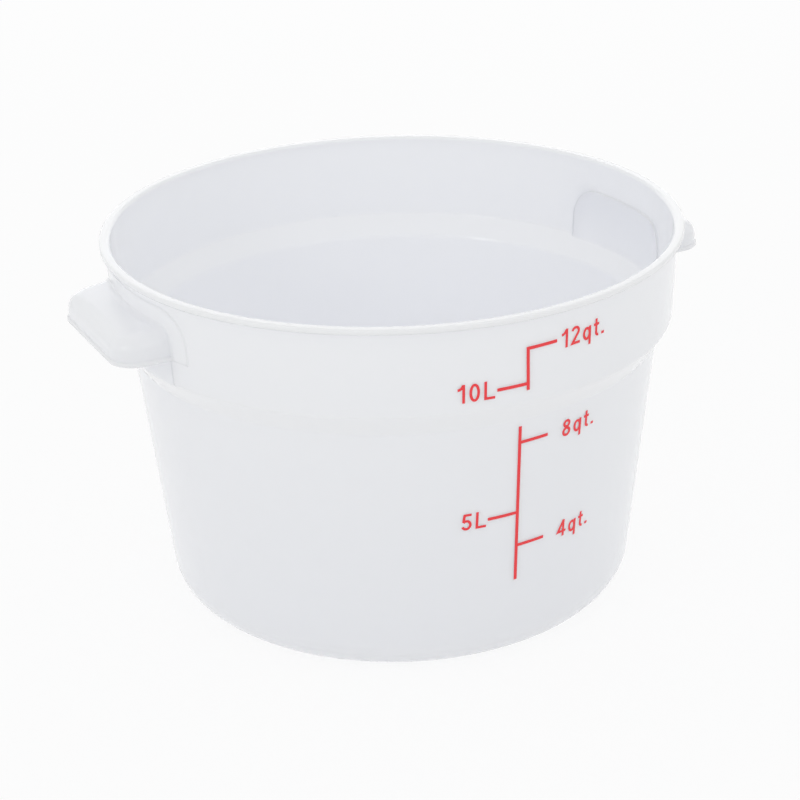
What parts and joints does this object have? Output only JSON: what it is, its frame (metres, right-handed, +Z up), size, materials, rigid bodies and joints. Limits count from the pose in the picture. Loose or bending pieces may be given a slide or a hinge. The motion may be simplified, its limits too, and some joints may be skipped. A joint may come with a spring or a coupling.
{
  "type": "dough proofing container",
  "caption": "Round translucent plastic food tub with a stepped collar, a lipped rim, two hooded side handles and a printed volume scale.",
  "frame": {"origin": "centre of the base, on the plane of the ring that the tub stands on", "axes": "+Z up along the tub's axis, +X through one handle, -Y through the printed scale"},
  "size_m": [0.3552, 0.3184, 0.209],
  "materials": {
    "milky_plastic": "milky translucent polypropylene, smooth with a soft gloss",
    "red_ink": "thin red printed ink"
  },
  "bodies": {
    "root": {"container_body": "milky_plastic", "upper_scale_print": "red_ink", "lower_scale_print": "red_ink"}
  },
  "joints": []
}
